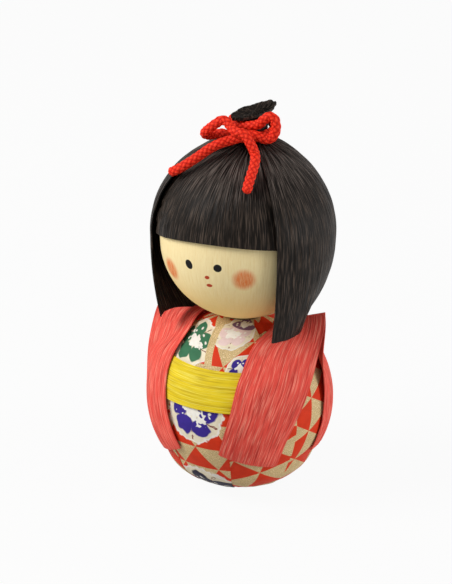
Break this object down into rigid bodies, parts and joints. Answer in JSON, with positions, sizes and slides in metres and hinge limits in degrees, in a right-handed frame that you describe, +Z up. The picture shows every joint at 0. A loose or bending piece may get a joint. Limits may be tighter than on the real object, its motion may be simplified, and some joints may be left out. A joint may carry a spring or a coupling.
{
  "type": "roly-poly doll",
  "caption": "Weighted round-bottomed paper doll of a girl in a kimono, with crepe paper sleeves that lift, bobbed paper hair and a red cord bow; this model rights itself only in part.",
  "frame": {"origin": "centre of the small flat under the base patch, on which the doll rests", "axes": "+Z up through the body and the head, -Y the way the face looks, +X the doll's own left"},
  "size_m": [0.0463, 0.0452, 0.0985],
  "materials": {
    "papier_mache": "rough pulp",
    "seam_paper": "matt",
    "ballast_iron": "rough cast",
    "peg_wood": "bare",
    "face_crepe": "fine crepe, matt",
    "printed_paper": "printed handmade paper, satin gold ink",
    "obi_crepe": "crepe, matt",
    "sleeve_crepe": "crepe, matt",
    "hair_crepe": "crepe, slight sheen",
    "black_thread": "twisted thread",
    "red_cord": "round braid, silky"
  },
  "bodies": {
    "doll": {"body_core_lower": "papier_mache", "body_core_upper": "papier_mache", "body_seam_tape": "seam_paper", "ballast_weight": "ballast_iron", "head_core_lower": "papier_mache", "head_core_upper": "papier_mache", "head_seam_tape": "seam_paper", "neck_peg": "peg_wood", "face_paper": "face_crepe", "kimono_wrap": "printed_paper", "base_patch": "printed_paper", "chest_paper_left": "printed_paper", "chest_paper_right": "printed_paper", "obi_band": "obi_crepe", "sleeve_left_shoulder": "sleeve_crepe", "sleeve_right_shoulder": "sleeve_crepe", "fringe": "hair_crepe", "back_hair": "hair_crepe", "topknot": "hair_crepe", "binding_thread": "black_thread", "hair_cord": "red_cord"},
    "left_front_flap": {"sleeve_left_front": "sleeve_crepe"},
    "left_back_flap": {"sleeve_left_back": "sleeve_crepe"},
    "right_front_flap": {"sleeve_right_front": "sleeve_crepe"},
    "right_back_flap": {"sleeve_right_back": "sleeve_crepe"}
  },
  "joints": [
    {"name": "left_front_fold", "type": "hinge", "parent": "doll", "child": "left_front_flap", "pos_m": [0.01614, -0.0067, 0.03976], "axis": [-0.8049, -0.5199, 0.286], "range_deg": [0, 45]},
    {"name": "left_back_fold", "type": "hinge", "parent": "doll", "child": "left_back_flap", "pos_m": [0.01614, 0.00624, 0.03937], "axis": [0.7935, -0.5037, -0.3414], "range_deg": [0, 45]},
    {"name": "right_front_fold", "type": "hinge", "parent": "doll", "child": "right_front_flap", "pos_m": [-0.01603, -0.00837, 0.0389], "axis": [-0.8523, 0.3287, -0.407], "range_deg": [0, 45]},
    {"name": "right_back_fold", "type": "hinge", "parent": "doll", "child": "right_back_flap", "pos_m": [-0.01667, 0.00605, 0.03845], "axis": [0.7749, 0.4732, 0.4191], "range_deg": [0, 45]}
  ]
}
